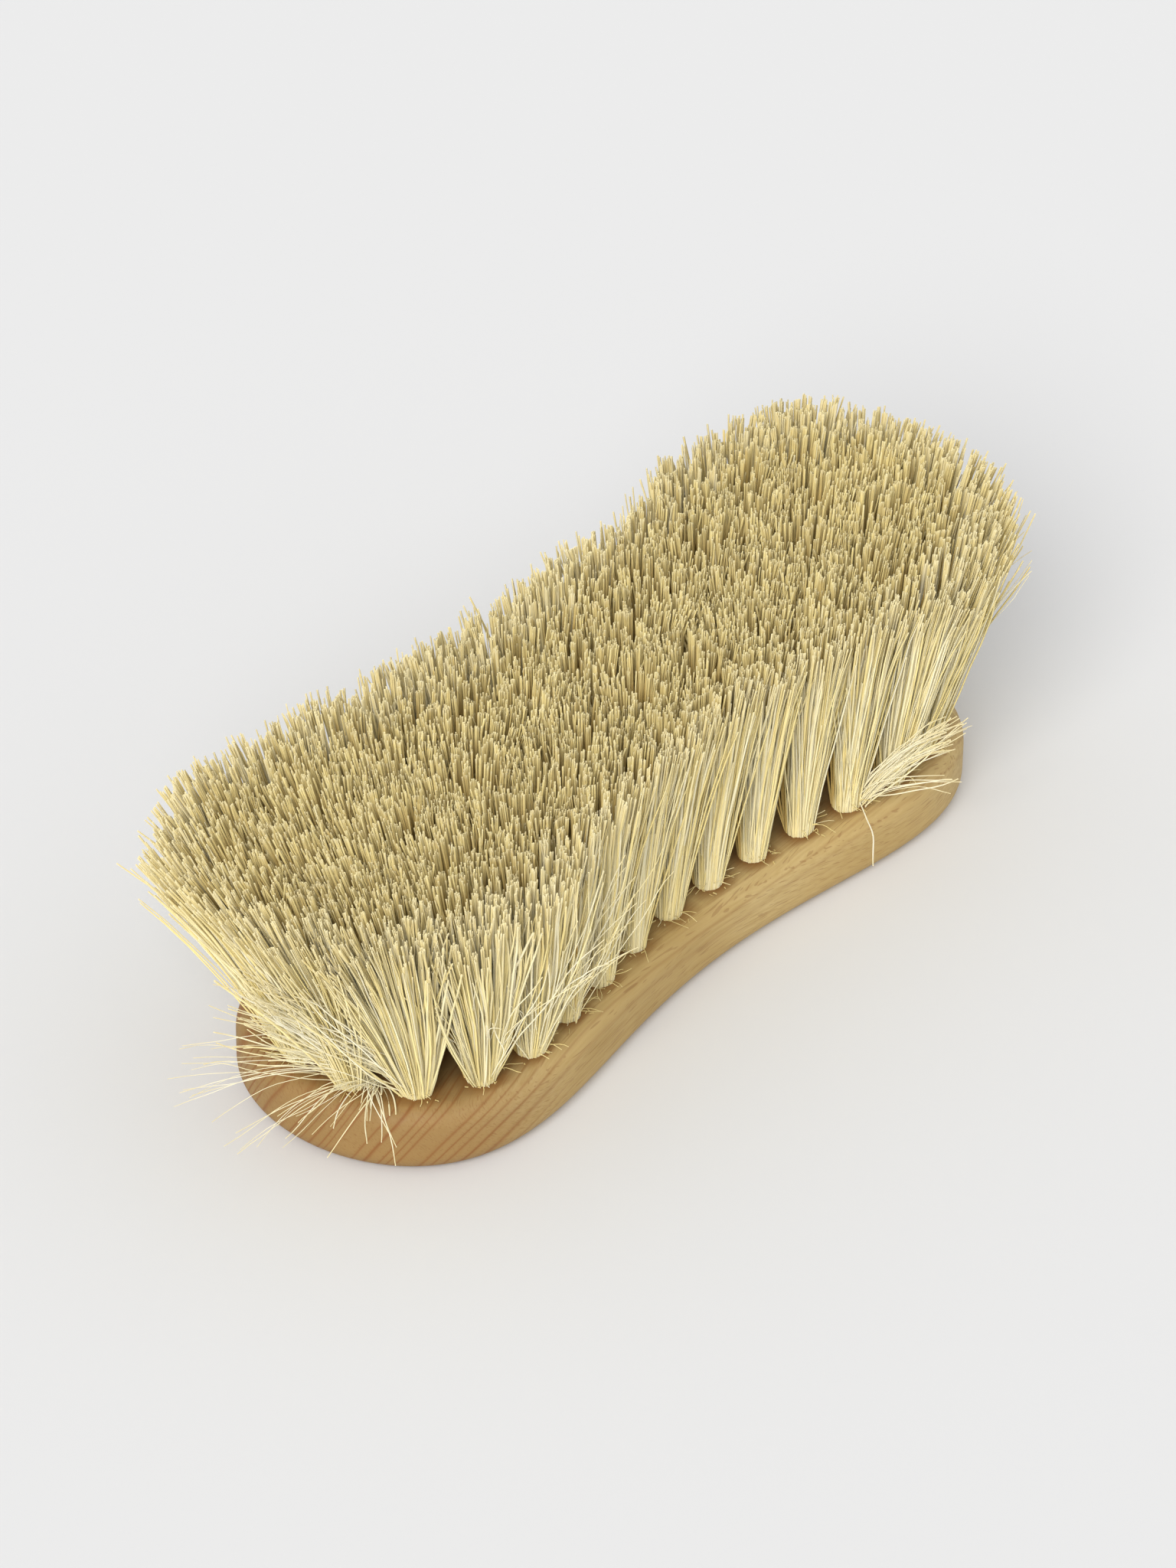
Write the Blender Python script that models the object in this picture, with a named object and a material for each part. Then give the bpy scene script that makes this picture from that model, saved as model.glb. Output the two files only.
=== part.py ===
"""Horse grooming brush: a waisted beech back with tufts of natural fibre set in blind holes.

Metres, +Z up. The brush lies on its grip face with the bristles up. The origin is the
middle of the grip face, and X runs along the back.
"""

import math
import random

import bmesh
import bpy
from mathutils import Vector

# Wooden back
BACK_LENGTH = 0.205
WAIST_WIDTH = 0.058
FLARE_WIDTH = 0.0826  # what the flaring sides would reach at the ends, were the ends not rounded
END_SQUARENESS = 4.9  # 2 is an ellipse, and more is squarer
BACK_THICKNESS = 0.016
FACE_EDGE_RADIUS = 0.0035
GRIP_EDGE_RADIUS = 0.005
OUTLINE_POINTS = 80
EDGE_STEPS = 3
SHARP_ANGLE = math.radians(35)  # edges blunter than this are shaded smooth

# Holes, drilled from the bristle face
HOLE_DEPTH = 0.010
DRILL_POINT_ANGLE = math.radians(118)
HOLE_SIDES = 12
HOLE_OVERRUN = 0.002  # how far a cutter starts above the face

# Where the tufts stand: two rings that follow the outline, and a short row in each broad end
EDGE_MARGIN = 0.008
RING_SPACING = 0.013
OUTER_TUFTS = 32
MIDDLE_TUFTS = 22
CORE_INNER_INSET = 0.0565  # from the end of the back
CORE_OUTER_INSET = 0.0375
PATH_FINENESS = 4  # points measured along a ring, for each point of the outline

# One tuft: a tight root, folded over a flat steel anchor, and strands that fan out to the tips
ROOT_DIAMETER = 0.0058
ROOT_CLEARANCE = 0.0003
ROOT_COLLAR = 0.0008  # how far the root stands out of its hole before the strands part
STRANDS = 8
ROOT_SHARE = 0.84  # of its sector of the root that a strand's foot fills
STRAND_WIDTH = 0.0026  # at the tip
INNER_TIP_SHARE = 0.40  # of the tuft's reach, for every second strand
OUTER_TIP_SHARE = 0.80
TIP_SCATTER = 0.05
BRISTLE_LENGTH = 0.051
TIP_UNEVENNESS = 0.0008
TUFT_GAP = 0.0008  # least space between the tips of neighbouring tufts
SIDE_SPLAY = 0.0034
END_SPLAY = 0.010
SPLAY_CURVE = 1.3  # 1 is a straight lean, and more bends outwards towards the tip
ANCHOR_HEIGHT = 0.002
ANCHOR_THICKNESS = 0.0005
ANCHOR_LIFT = 0.0015  # fold of the fibres under the anchor

# Use has swept the tips aside round one corner of the near end, between two tufts of the outer ring
SWEPT_LEAN = 0.0135
SWEPT_HEADING = math.radians(115)  # headings are measured from +X towards +Y
SWEPT_BETWEEN = (7, 8)
SWEPT_SPREAD = 0.036  # how far from the corner the lean has fallen to 37 %

# Fibres that have sprung sideways out of some roots of the outer ring, in two rows, one over the other
SPRUNG_FANS = (
    # tuft, strands side by side, headings of the first and the last, rises of the lower and the upper row
    (8, 2, math.radians(108), math.radians(125), (math.radians(18), math.radians(40))),
    (9, 4, math.radians(133), math.radians(222), (math.radians(11), math.radians(32))),
    (20, 2, math.radians(278), math.radians(300), (math.radians(28), math.radians(47))),
)
SPRUNG_COLLAR = 0.003  # how far such a root stands out of its hole
SPRUNG_LENGTH = 0.037
SPRUNG_SCATTER = 0.08  # of the length
SPRUNG_WIDTH = 0.0012  # at the tip
SPRUNG_ARCH = math.radians(14)  # a strand leaves this much steeper than it ends
SPRUNG_BENDS = 3

SEED = 7


def clear_scene():
    for obj in list(bpy.data.objects):
        bpy.data.objects.remove(obj, do_unlink=True)


def linear(hex_colour):
    """An sRGB hex colour as linear RGBA."""
    channels = [int(hex_colour[i:i + 2], 16) / 255 for i in (0, 2, 4)]
    return [c / 12.92 if c <= 0.04045 else ((c + 0.055) / 1.055) ** 2.4 for c in channels] + [1]


def make_material(name, hex_colour, roughness):
    material = bpy.data.materials.new(name)
    material.use_nodes = True
    shader = material.node_tree.nodes["Principled BSDF"]
    shader.inputs["Base Color"].default_value = linear(hex_colour)
    shader.inputs["Roughness"].default_value = roughness
    shader.inputs["Metallic"].default_value = 0
    return material


def add_object(name, bm, material=None, parent=None, location=(0, 0, 0)):
    mesh = bpy.data.meshes.new(name)
    bm.normal_update()
    bm.to_mesh(mesh)
    bm.free()
    obj = bpy.data.objects.new(name, mesh)
    bpy.context.scene.collection.objects.link(obj)
    obj.location = location
    obj.parent = parent
    if material:
        mesh.materials.append(material)
    return obj


def half_width(x, inset=0.0):
    """Half the width of the waisted outline at x, for the outline drawn smaller by inset all round."""
    u = min(1.0, abs(x) / (BACK_LENGTH / 2 - inset))
    flare = (FLARE_WIDTH - WAIST_WIDTH) / 2 * math.sin(math.pi / 2 * u) ** 2
    return (WAIST_WIDTH / 2 - inset + flare) * math.sqrt(1 - u**END_SQUARENESS)


def outline(inset=0.0, points=OUTLINE_POINTS):
    """The outline anticlockwise as (x, y) points, from the middle of the side at +Y."""
    found = []
    for i in range(points):
        angle = 2 * math.pi * i / points
        x = -(BACK_LENGTH / 2 - inset) * math.sin(angle)
        found.append((x, math.copysign(half_width(x, inset), math.cos(angle))))
    return found


def shrunk(points, distance):
    """A closed anticlockwise outline moved inwards, square to itself, by distance."""
    moved = []
    for i, (x, y) in enumerate(points):
        before = points[i - 1]
        after = points[(i + 1) % len(points)]
        along = (after[0] - before[0], after[1] - before[1])
        length = math.hypot(*along)
        moved.append((x - along[1] / length * distance, y + along[0] / length * distance))
    return moved


def edge_profile():
    """(inset, height) up the side of the back: round the grip edge, up the wall, round the face edge."""
    profile = []
    for i in range(EDGE_STEPS + 1):
        turn = math.pi / 2 * i / EDGE_STEPS
        profile.append((GRIP_EDGE_RADIUS * (1 - math.sin(turn)), GRIP_EDGE_RADIUS * (1 - math.cos(turn))))
    for i in range(EDGE_STEPS + 1):
        turn = math.pi / 2 * i / EDGE_STEPS
        height = BACK_THICKNESS - FACE_EDGE_RADIUS * (1 - math.sin(turn))
        profile.append((FACE_EDGE_RADIUS * (1 - math.cos(turn)), height))
    return profile


def add_ring(bm, points, z):
    return [bm.verts.new((x, y, z)) for x, y in points]


def bridge(bm, low, high):
    for i in range(len(low)):
        j = (i + 1) % len(low)
        bm.faces.new((low[i], low[j], high[j], high[i]))


def circle(radius, sides, turn=0.0):
    angles = [turn + 2 * math.pi * i / sides for i in range(sides)]
    return [(radius * math.cos(a), radius * math.sin(a)) for a in angles]


def ring_places(inset, count, phase):
    """Evenly spaced places along the outline drawn smaller by inset. Phase 0 puts one at mid side."""
    path = outline(inset, OUTLINE_POINTS * PATH_FINENESS)
    path.append(path[0])
    steps = [math.dist(a, b) for a, b in zip(path, path[1:])]
    total = sum(steps)
    places = []
    passed = 0.0
    index = 0
    for k in range(count):
        wanted = (k + phase) * total / count
        while passed + steps[index] < wanted:
            passed += steps[index]
            index += 1
        share = (wanted - passed) / steps[index]
        a, b = path[index], path[index + 1]
        places.append((a[0] + (b[0] - a[0]) * share, a[1] + (b[1] - a[1]) * share))
    return places


def outer_name(number):
    return f"tuft_outer_{number:02d}"


def tuft_places():
    """(node name, x, y, outer) for every tuft."""
    places = []
    for i, (x, y) in enumerate(ring_places(EDGE_MARGIN, OUTER_TUFTS, 0.5)):
        places.append((outer_name(i + 1), x, y, True))
    for i, (x, y) in enumerate(ring_places(EDGE_MARGIN + RING_SPACING, MIDDLE_TUFTS, 0.0)):
        places.append((f"tuft_middle_{i + 1:02d}", x, y, False))
    outer_core = BACK_LENGTH / 2 - CORE_OUTER_INSET
    inner_core = BACK_LENGTH / 2 - CORE_INNER_INSET
    for i, x in enumerate((-outer_core, -inner_core, inner_core, outer_core)):
        places.append((f"tuft_core_{i + 1:02d}", x, 0.0, False))
    return places


def splay(x, y):
    """How far a tuft's tip stands out from over its root: not at all in the middle, most at the edge."""
    reach = BACK_LENGTH / 2 - EDGE_MARGIN
    sideways = SIDE_SPLAY * y / max(half_width(x, EDGE_MARGIN), abs(y), SIDE_SPLAY)
    return END_SPLAY * (x / reach) ** 3, sideways


def swept(x, y, corner):
    """How far use has swept a tuft's tip aside, which fades with the distance from the corner."""
    return SWEPT_LEAN * math.exp(-((math.dist((x, y), corner) / SWEPT_SPREAD) ** 2))


def tip_shift(x, y, corner):
    """(sideways shift of a tuft's tip in x and y, height of the tip over the face)."""
    lean = swept(x, y, corner)
    along, across = splay(x, y)
    shift = (along + lean * math.cos(SWEPT_HEADING), across + lean * math.sin(SWEPT_HEADING))
    return shift, math.sqrt(BRISTLE_LENGTH**2 - lean**2)


def hole_apothem():
    return ROOT_DIAMETER / 2 + ROOT_CLEARANCE


def add_drill(bm, x, y):
    """A closed drill shape with its conical point, from above the face to the foot of the hole."""
    radius = hole_apothem() / math.cos(math.pi / HOLE_SIDES)
    rim = [(x + a, y + b) for a, b in circle(radius, HOLE_SIDES, math.pi / HOLE_SIDES)]
    low = add_ring(bm, rim, BACK_THICKNESS - HOLE_DEPTH)
    high = add_ring(bm, rim, BACK_THICKNESS + HOLE_OVERRUN)
    point = radius / math.tan(DRILL_POINT_ANGLE / 2)
    foot = bm.verts.new((x, y, BACK_THICKNESS - HOLE_DEPTH - point))
    bridge(bm, low, high)
    bm.faces.new(high)
    for i in range(HOLE_SIDES):
        bm.faces.new((low[(i + 1) % HOLE_SIDES], low[i], foot))


def make_back(places, material):
    bm = bmesh.new()
    edge = outline()
    rings = [add_ring(bm, shrunk(edge, inset), z) for inset, z in edge_profile()]
    for low, high in zip(rings, rings[1:]):
        bridge(bm, low, high)
    bm.faces.new(list(reversed(rings[0])))
    bm.faces.new(rings[-1])
    back = add_object("beech_back", bm, material)
    back.data.shade_smooth()
    back.data.set_sharp_from_angle(angle=SHARP_ANGLE)

    drills = bmesh.new()
    for _, x, y, _ in places:
        add_drill(drills, x, y)
    cutter = add_object("drills", drills, parent=back)
    cutter.hide_render = True
    cutter.display_type = "WIRE"
    holes = back.modifiers.new("blind holes", "BOOLEAN")
    holes.operation = "DIFFERENCE"
    holes.object = cutter
    return back


def add_anchor_end(bm, low_a, low_b, high_b, high_a):
    """One side of the root, with the end of the flat anchor standing out of it."""
    middle = (low_a.co + low_b.co) / 2
    along = (low_b.co - low_a.co).normalized() * (ANCHOR_THICKNESS / 2)
    out = middle.copy()
    out.z = 0
    out = out.normalized() * (ROOT_DIAMETER / 2 - out.length)
    feet = []
    ends = []
    for side, rise in ((-1, 0), (1, 0), (1, ANCHOR_HEIGHT), (-1, ANCHOR_HEIGHT)):
        corner = middle + along * side
        corner.z += ANCHOR_LIFT + rise
        feet.append(bm.verts.new(corner))
        ends.append(bm.verts.new(corner + out))
    bridge(bm, [low_a, low_b, high_b, high_a], feet)
    bridge(bm, feet, ends)
    bm.faces.new(ends)


def strand_section(angle, distance, width):
    """A triangle that points at the tuft's axis, with its middle at a distance from it."""
    depth = width * math.cos(math.pi / 6)
    far = distance + depth / 3
    corners = ((distance - depth * 2 / 3, 0), (far, -width / 2), (far, width / 2))
    return [
        (r * math.cos(angle) - s * math.sin(angle), r * math.sin(angle) + s * math.cos(angle))
        for r, s in corners
    ]


def add_strand(bm, foot, angle, tip_distance, tip_shift, tip_height, bends):
    """Carries the foot triangle up to a blunt cut tip, bending outwards at each step."""
    section = strand_section(angle, tip_distance, STRAND_WIDTH)
    start = [v.co.copy() for v in foot]
    ring = foot
    for step in range(1, bends + 1):
        rise = step / bends
        lean = rise**SPLAY_CURVE
        corners = []
        for corner, (x, y) in zip(start, section):
            corners.append(bm.verts.new((
                corner.x + (x - corner.x) * rise + tip_shift[0] * lean,
                corner.y + (y - corner.y) * rise + tip_shift[1] * lean,
                corner.z + (tip_height - corner.z) * rise,
            )))
        bridge(bm, ring, corners)
        ring = corners
    bm.faces.new(ring)


def add_foot(bm, corners):
    """A smaller face inside the one between the corners, for a strand to leave from."""
    middle = sum((v.co for v in corners), Vector()) / len(corners)
    foot = [bm.verts.new(middle + (v.co - middle) * ROOT_SHARE) for v in corners]
    bridge(bm, corners, foot)
    return foot


def add_sprung_strand(bm, corners, heading, rise, length):
    """Carries a side face of the root out along an arch to a blunt square tip."""
    ring = add_foot(bm, corners)
    start = [v.co.copy() for v in ring]
    middle = sum(start, Vector()) / len(start)
    level = Vector((math.cos(heading), math.sin(heading), 0))
    first = level * math.cos(rise + SPRUNG_ARCH) + Vector((0, 0, math.sin(rise + SPRUNG_ARCH)))
    last = level * math.cos(rise - SPRUNG_ARCH) + Vector((0, 0, math.sin(rise - SPRUNG_ARCH)))
    aside = Vector((-level.y, level.x, 0))
    for step in range(1, SPRUNG_BENDS + 1):
        share = step / SPRUNG_BENDS
        along = first.lerp(last, share).normalized()
        centre = middle + (first * (1 - share / 2) + last * (share / 2)) * (length * share)
        upwards = along.cross(aside)
        corners_on = []
        for corner, (a, b) in zip(start, ((-1, -1), (1, -1), (1, 1), (-1, 1))):
            wide = (corner - middle).dot(aside)
            tall = (corner - middle).z
            wide += (a * SPRUNG_WIDTH / 2 - wide) * share
            tall += (b * SPRUNG_WIDTH / 2 - tall) * share
            corners_on.append(bm.verts.new(centre + aside * wide + upwards * tall))
        bridge(bm, ring, corners_on)
        ring = corners_on
    bm.faces.new(ring)


def sprung_sides(count, first, last):
    """Side of the root -> heading of the strands that spring from it."""
    side_turn = 2 * math.pi / STRANDS
    start = round((first + last) / 2 / side_turn - (count - 1) / 2)
    return {(start + k) % STRANDS: first + (last - first) * k / max(1, count - 1) for k in range(count)}


def make_tuft(name, x, y, outer, shift, height, reach, sprung, rises, back, material, dice):
    """Root, anchor and strands in the tuft's own frame, which has its origin at the hole's mouth."""
    bm = bmesh.new()
    rim = circle(ROOT_DIAMETER / 2, STRANDS, -math.pi / STRANDS)
    levels = [ROOT_CLEARANCE - HOLE_DEPTH, ROOT_COLLAR]
    if sprung:
        row_height = (SPRUNG_COLLAR - ROOT_CLEARANCE) / len(rises)
        levels = levels[:1] + [ROOT_CLEARANCE + row_height * k for k in range(len(rises) + 1)]
    rings = [add_ring(bm, rim, z) for z in levels]
    hub = bm.verts.new((0, 0, levels[-1]))
    bm.faces.new(list(reversed(rings[0])))
    for i in range(STRANDS):
        j = (i + 1) % STRANDS
        for row, (low, high) in enumerate(zip(rings, rings[1:])):
            side = [low[i], low[j], high[j], high[i]]
            if row == 0 and i % (STRANDS // 2) == 0:
                add_anchor_end(bm, *side)
            elif row > 0 and i in sprung:
                length = SPRUNG_LENGTH * dice.uniform(1 - SPRUNG_SCATTER, 1 + SPRUNG_SCATTER)
                add_sprung_strand(bm, side, sprung[i], rises[row - 1], length)
            else:
                bm.faces.new(side)
        foot = add_foot(bm, [hub, rings[-1][i], rings[-1][j]])
        share = (OUTER_TIP_SHARE, INNER_TIP_SHARE)[i % 2]
        tip_height = height + dice.uniform(-1, 1) * TIP_UNEVENNESS
        distance = reach * share * dice.uniform(1 - TIP_SCATTER, 1 + TIP_SCATTER)
        add_strand(bm, foot, 2 * math.pi * i / STRANDS, distance, shift, tip_height, 2 if outer else 1)
    tuft = add_object(name, bm, material, back, (x, y, BACK_THICKNESS))
    tuft.data.shade_smooth()
    tuft.data.set_sharp_from_angle(angle=SHARP_ANGLE)
    return tuft


def main():
    clear_scene()
    dice = random.Random(SEED)
    beech = make_material("oiled_beech", "B0905B", 0.5)
    fibre = make_material("natural_fibre", "CFC392", 0.7)
    places = tuft_places()
    back = make_back(places, beech)
    beside = [(x, y) for name, x, y, _ in places if name in map(outer_name, SWEPT_BETWEEN)]
    corner = [sum(values) / len(beside) for values in zip(*beside)]
    shifts = [tip_shift(x, y, corner) for _, x, y, _ in places]
    tips = [(x + shift[0], y + shift[1]) for (_, x, y, _), (shift, _) in zip(places, shifts)]
    fans = {outer_name(tuft): (sprung_sides(*fan), rises) for tuft, *fan, rises in SPRUNG_FANS}
    for i, (name, x, y, outer) in enumerate(places):
        nearest = min(math.dist(tips[i], other) for k, other in enumerate(tips) if k != i)
        reach = (nearest - TUFT_GAP) / 2
        make_tuft(name, x, y, outer, *shifts[i], reach, *fans.get(name, ({}, ())), back, fibre, dice)


main()
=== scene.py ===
import math

import bmesh
import bpy
import numpy as np
from mathutils import Matrix, Vector


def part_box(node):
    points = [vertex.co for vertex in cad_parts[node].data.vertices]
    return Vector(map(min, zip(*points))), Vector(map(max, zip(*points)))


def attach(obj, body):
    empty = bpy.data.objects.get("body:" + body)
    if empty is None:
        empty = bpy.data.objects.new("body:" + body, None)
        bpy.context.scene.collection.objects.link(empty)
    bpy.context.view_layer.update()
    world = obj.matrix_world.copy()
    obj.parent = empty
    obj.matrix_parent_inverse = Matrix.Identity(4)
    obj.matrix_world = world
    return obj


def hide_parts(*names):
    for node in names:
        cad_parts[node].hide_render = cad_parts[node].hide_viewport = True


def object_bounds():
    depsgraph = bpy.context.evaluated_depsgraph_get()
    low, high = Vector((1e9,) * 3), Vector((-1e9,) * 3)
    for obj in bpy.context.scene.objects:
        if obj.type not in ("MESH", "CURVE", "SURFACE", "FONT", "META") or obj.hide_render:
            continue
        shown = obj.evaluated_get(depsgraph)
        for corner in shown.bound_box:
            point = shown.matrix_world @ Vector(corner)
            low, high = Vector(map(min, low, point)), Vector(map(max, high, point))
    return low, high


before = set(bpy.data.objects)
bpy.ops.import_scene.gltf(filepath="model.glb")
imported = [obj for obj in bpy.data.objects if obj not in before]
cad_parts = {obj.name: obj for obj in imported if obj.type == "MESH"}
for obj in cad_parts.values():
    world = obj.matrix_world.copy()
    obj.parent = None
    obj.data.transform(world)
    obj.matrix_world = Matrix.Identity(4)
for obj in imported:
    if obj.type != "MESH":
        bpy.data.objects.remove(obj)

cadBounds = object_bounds()
mm = 0.001  # the shapes below are worked out in millimetres
scene = bpy.context.scene
print("frame loaded:", len(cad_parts), "CAD nodes")


# Small helpers

def toLinear(hexText):
    # the sRGB curve, for a colour written as six hex digits
    channels = [int(hexText[i:i + 2], 16) / 255 for i in (0, 2, 4)]
    return [c / 12.92 if c <= 0.04045 else ((c + 0.055) / 1.055) ** 2.4 for c in channels] + [1.0]


def addNode(tree, kind, inputs=None, **settings):
    # inputs: socket name or number to a value, to the socket that feeds it, or to the node whose first output does
    node = tree.nodes.new(kind)
    for name, value in settings.items():
        setattr(node, name, value)
    for name, value in (inputs or {}).items():
        if isinstance(value, bpy.types.Node):
            value = value.outputs[0]
        if isinstance(value, bpy.types.NodeSocket):
            tree.links.new(value, node.inputs[name])
        else:
            node.inputs[name].default_value = value
    return node


def addObject(name, mesh):
    thing = bpy.data.objects.new(name, mesh)
    scene.collection.objects.link(thing)
    return thing


def fillRamp(node, stops):
    # stops: (position, hex colour) from left to right
    elements = node.color_ramp.elements
    while len(elements) > len(stops):
        elements.remove(elements[-1])
    while len(elements) < len(stops):
        elements.new(1.0)
    for element, (position, hexText) in zip(elements, stops):
        element.position = position
        element.color = toLinear(hexText)


# Camera, light and floor

view = {
    "azimuth": 51.53, "elevation": 35.77, "roll": 0.58,  # degrees
    "distance": 1499.0, "targetSideways": 4.99, "targetForwards": -27.47, "targetHeight": 16.14,  # mm
    "lens": 158.03, "sensorWidth": 36.0, "clipEnd": 50.0,  # mm, mm and metres
}
studio = {
    "floorColour": "E7E7E7", "floorRoughness": 0.9, "floorSpecular": 0.1, "floorSize": 40.0,  # metres
    "backdropColour": "EAEAEA", "backdropStrength": 1.0, "worldColour": "FFFFFF", "worldStrength": 0.64,
    "keyColour": "FFFFFF", "keyStrength": 2.2, "keyTurn": 14.0, "keyHeight": 36.0, "keySoftness": 34.0,  # degrees
}


def placeCamera():
    elevation, roll = math.radians(view["elevation"]), math.radians(view["roll"])
    away = Vector((0, -math.cos(elevation), math.sin(elevation)))
    rise = Vector((0, math.sin(elevation), math.cos(elevation)))
    side = Vector((1, 0, 0))
    across = side * math.cos(roll) + rise * math.sin(roll)
    upwards = rise * math.cos(roll) - side * math.sin(roll)
    turn = Matrix.Rotation(-math.radians(view["azimuth"]), 3, "Z")
    target = Vector((view["targetSideways"], view["targetForwards"], 0))
    place = turn @ (away * view["distance"] - target) + Vector((0, 0, view["targetHeight"]))
    data = bpy.data.cameras.new("camera")
    data.lens = view["lens"]
    data.sensor_width = view["sensorWidth"]
    data.clip_end = view["clipEnd"]
    camera = addObject("camera", data)
    axes = Matrix((turn @ across, turn @ upwards, turn @ away)).transposed()
    camera.matrix_world = Matrix.Translation(place * mm) @ axes.to_4x4()
    scene.camera = camera


def lightStudio():
    world = bpy.data.worlds.new("pale studio")
    world.use_nodes = True
    tree = world.node_tree
    tree.nodes.clear()
    glow, shown = (
        addNode(tree, "ShaderNodeBackground", {"Color": toLinear(studio[colour]), "Strength": studio[strength]})
        for colour, strength in (("worldColour", "worldStrength"), ("backdropColour", "backdropStrength"))
    )

    # The camera sees the backdrop, also in a gloss, and the glow lights the brush
    rays = addNode(tree, "ShaderNodeLightPath").outputs
    plain = addNode(tree, "ShaderNodeMath", {0: rays["Is Camera Ray"], 1: rays["Is Glossy Ray"]}, operation="MAXIMUM")
    plain = addNode(tree, "ShaderNodeMath", {0: plain, 1: rays["Is Transmission Ray"]}, operation="MAXIMUM")
    seen = addNode(tree, "ShaderNodeMixShader", {0: plain, 1: glow, 2: shown})
    addNode(tree, "ShaderNodeOutputWorld", {"Surface": seen})
    scene.world = world

    # One broad soft lamp above the camera and a little to its side
    data = bpy.data.lights.new("soft key", "SUN")
    data.energy = studio["keyStrength"]
    data.angle = math.radians(studio["keySoftness"])
    data.color = toLinear(studio["keyColour"])[:3]
    key = addObject("soft key", data)
    bearing = math.radians(-90 - view["azimuth"] - studio["keyTurn"])
    height = math.radians(studio["keyHeight"])
    towards = Vector((math.cos(bearing) * math.cos(height), math.sin(bearing) * math.cos(height), math.sin(height)))
    key.rotation_euler = towards.to_track_quat("Z", "Y").to_euler()


def layFloor():
    # Matt seamless studio paper, which takes the object's soft shadow
    paper = bpy.data.materials.new("studio_paper")
    paper.use_nodes = True
    shader = paper.node_tree.nodes["Principled BSDF"].inputs
    shader["Base Color"].default_value = toLinear(studio["floorColour"])
    shader["Roughness"].default_value = studio["floorRoughness"]
    shader["Specular IOR Level"].default_value = studio["floorSpecular"]
    half = studio["floorSize"] / 2
    mesh = bpy.data.meshes.new("floor")
    mesh.from_pydata([(-half, -half, 0), (half, -half, 0), (half, half, 0), (-half, half, 0)], [], [(0, 1, 2, 3)])
    mesh.materials.append(paper)
    addObject("floor", mesh)


placeCamera()
lightStudio()
layFloor()
scene.view_settings.view_transform = "Standard"
print("camera, light and floor are in place")


# Oiled beech back

back = {
    "waist": 58.0, "flare": 82.6, "squareness": 4.9,  # outline: widths in mm, and how square the ends are
    "gripRounding": 5.0, "faceRounding": 4.4, "faceRings": 6, "faceRingStep": 1.6,  # mm
    "outlinePoints": 320, "roundingSteps": 8, "sharpAngle": 35.0,  # degrees
    "holeWidth": 6.0, "holeDepth": 10.0, "drillAngle": 118.0, "drillAbove": 3.0, "holeSides": 28,  # mm and degrees
    "greaseAndShadeReach": 4.5, "greaseAndShadeDepth": 0.2,  # mm from a hole's rim and below the face
}

backLow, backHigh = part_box("beech_back")
faceHeight = backHigh.z / mm
halfLength = (backHigh.x - backLow.x) / 2 / mm


def brushOutline(count):
    # the waisted outline anticlockwise, and the direction out of it at each point
    angle = np.linspace(0, 2 * np.pi, count, endpoint=False)
    x = -halfLength * np.sin(angle)
    reach = np.abs(x) / halfLength
    flare = (back["flare"] - back["waist"]) / 2 * np.sin(np.pi / 2 * reach) ** 2
    squared = np.sqrt(np.maximum(0, 1 - reach ** back["squareness"]))
    y = np.copysign((back["waist"] / 2 + flare) * squared, np.cos(angle))
    points = np.stack([x, y], 1)
    along = np.roll(points, -1, 0) - np.roll(points, 1, 0)
    along /= np.linalg.norm(along, axis=1)[:, None]
    return points, np.stack([along[:, 1], -along[:, 0]], 1)


def tuftFromNode(name):
    # centre of the root and centre of the tips of a CAD tuft, in mm
    rootBand, tipBand = 0.5, 4.0  # mm from its lowest and from its highest corner
    corners = np.unique(np.round([v.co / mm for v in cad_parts[name].data.vertices], 4), axis=0)
    low = corners[corners[:, 2] < corners[:, 2].min() + rootBand, :2]
    high = corners[corners[:, 2] > corners[:, 2].max() - tipBand, :2]
    return (low.min(0) + low.max(0)) / 2, high.mean(0)


tuftNames = sorted(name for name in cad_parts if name.startswith("tuft_"))
tuftRoots, tuftTips = (np.array(found) for found in zip(*map(tuftFromNode, tuftNames)))


def drillBits():
    bm = bmesh.new()
    radius, sides = back["holeWidth"] / 2, back["holeSides"]
    top, bottom = faceHeight + back["drillAbove"], faceHeight - back["holeDepth"]
    point = bottom - radius / math.tan(math.radians(back["drillAngle"] / 2))
    turns = [2 * math.pi * i / sides for i in range(sides)]
    for x, y in tuftRoots:
        rim = [(x + radius * math.cos(turn), y + radius * math.sin(turn)) for turn in turns]
        low = [bm.verts.new((a * mm, b * mm, bottom * mm)) for a, b in rim]
        high = [bm.verts.new((a * mm, b * mm, top * mm)) for a, b in rim]
        foot = bm.verts.new((x * mm, y * mm, point * mm))
        bm.faces.new(high)
        for i in range(sides):
            j = (i + 1) % sides
            bm.faces.new((low[i], low[j], high[j], high[i]))
            bm.faces.new((low[j], low[i], foot))
    mesh = bpy.data.meshes.new("drill bits")
    bm.to_mesh(mesh)
    bm.free()
    return addObject("drill bits", mesh)


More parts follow.
